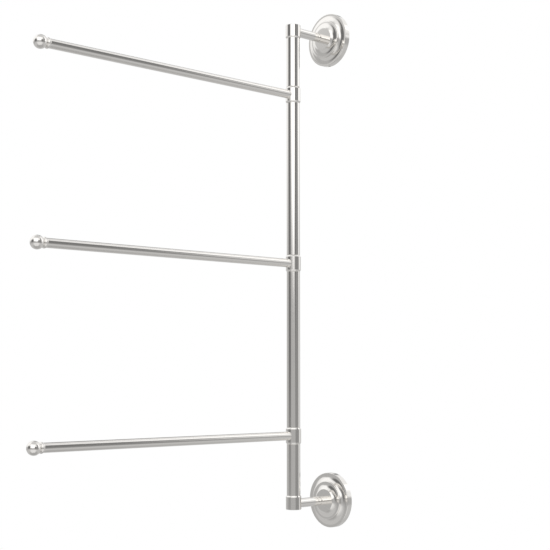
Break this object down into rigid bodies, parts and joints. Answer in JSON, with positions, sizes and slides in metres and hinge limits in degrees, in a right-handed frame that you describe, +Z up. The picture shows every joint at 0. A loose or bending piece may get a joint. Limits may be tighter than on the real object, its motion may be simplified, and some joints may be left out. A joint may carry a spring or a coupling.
{
  "type": "swing arm towel bar",
  "caption": "Wall-mounted vertical post on two stepped round flanges, with horizontal towel arms that swing about the post and end in ball finials.",
  "frame": {"origin": "centre of the lower wall bracket's back face, on the wall", "axes": "+Z up along the post, +Y into the wall, +X along the wall to the right of a person facing it; the arms at rest point along -Y"},
  "size_m": [0.077, 0.5002, 0.7468],
  "materials": {
    "satin_chrome": "satin, fine brushed",
    "plain_brass": "turned, unplated",
    "zinc_plated_steel": "zinc plated",
    "washer_nylon": "natural"
  },
  "bodies": {
    "wall_frame": {"lower_flange": "satin_chrome", "lower_wall_bracket": "zinc_plated_steel", "lower_flange_set_screw": "zinc_plated_steel", "lower_stem": "satin_chrome", "lower_stem_screw": "zinc_plated_steel", "lower_stem_stud": "zinc_plated_steel", "lower_end_collar": "satin_chrome", "upper_flange": "satin_chrome", "upper_wall_bracket": "zinc_plated_steel", "upper_flange_set_screw": "zinc_plated_steel", "upper_stem": "satin_chrome", "upper_stem_screw": "zinc_plated_steel", "upper_stem_stud": "zinc_plated_steel", "upper_end_collar": "satin_chrome", "tie_rod": "zinc_plated_steel", "post_tube_1": "satin_chrome", "post_tube_2": "satin_chrome", "post_tube_3": "satin_chrome", "post_tube_4": "satin_chrome", "tube_plug_1": "plain_brass", "tube_plug_2": "plain_brass", "tube_plug_3": "plain_brass", "tube_plug_4": "plain_brass", "tube_plug_5": "plain_brass", "tube_plug_6": "plain_brass", "lower_pivot_sleeve": "plain_brass", "lower_hub_washers": "washer_nylon", "middle_pivot_sleeve": "plain_brass", "middle_hub_washers": "washer_nylon", "upper_pivot_sleeve": "plain_brass", "upper_hub_washers": "washer_nylon"},
    "lower_arm": {"lower_arm_hub": "satin_chrome", "lower_arm_stud": "zinc_plated_steel", "lower_arm_root_plug": "plain_brass", "lower_arm_tube": "satin_chrome", "lower_arm_tip_plug": "plain_brass", "lower_ball_finial": "satin_chrome"},
    "middle_arm": {"middle_arm_hub": "satin_chrome", "middle_arm_stud": "zinc_plated_steel", "middle_arm_root_plug": "plain_brass", "middle_arm_tube": "satin_chrome", "middle_arm_tip_plug": "plain_brass", "middle_ball_finial": "satin_chrome"},
    "upper_arm": {"upper_arm_hub": "satin_chrome", "upper_arm_stud": "zinc_plated_steel", "upper_arm_root_plug": "plain_brass", "upper_arm_tube": "satin_chrome", "upper_arm_tip_plug": "plain_brass", "upper_ball_finial": "satin_chrome"}
  },
  "joints": [
    {"name": "lower_arm_swing", "type": "hinge", "parent": "wall_frame", "child": "lower_arm", "pos_m": [0, -0.0765, 0.0936], "axis": [0, 0, 1], "range_deg": [-98, 98]},
    {"name": "middle_arm_swing", "type": "hinge", "parent": "wall_frame", "child": "middle_arm", "pos_m": [0, -0.0765, 0.3349], "axis": [0, 0, 1], "range_deg": [-98, 98]},
    {"name": "upper_arm_swing", "type": "hinge", "parent": "wall_frame", "child": "upper_arm", "pos_m": [0, -0.0765, 0.5762], "axis": [0, 0, 1], "range_deg": [-98, 98]}
  ]
}
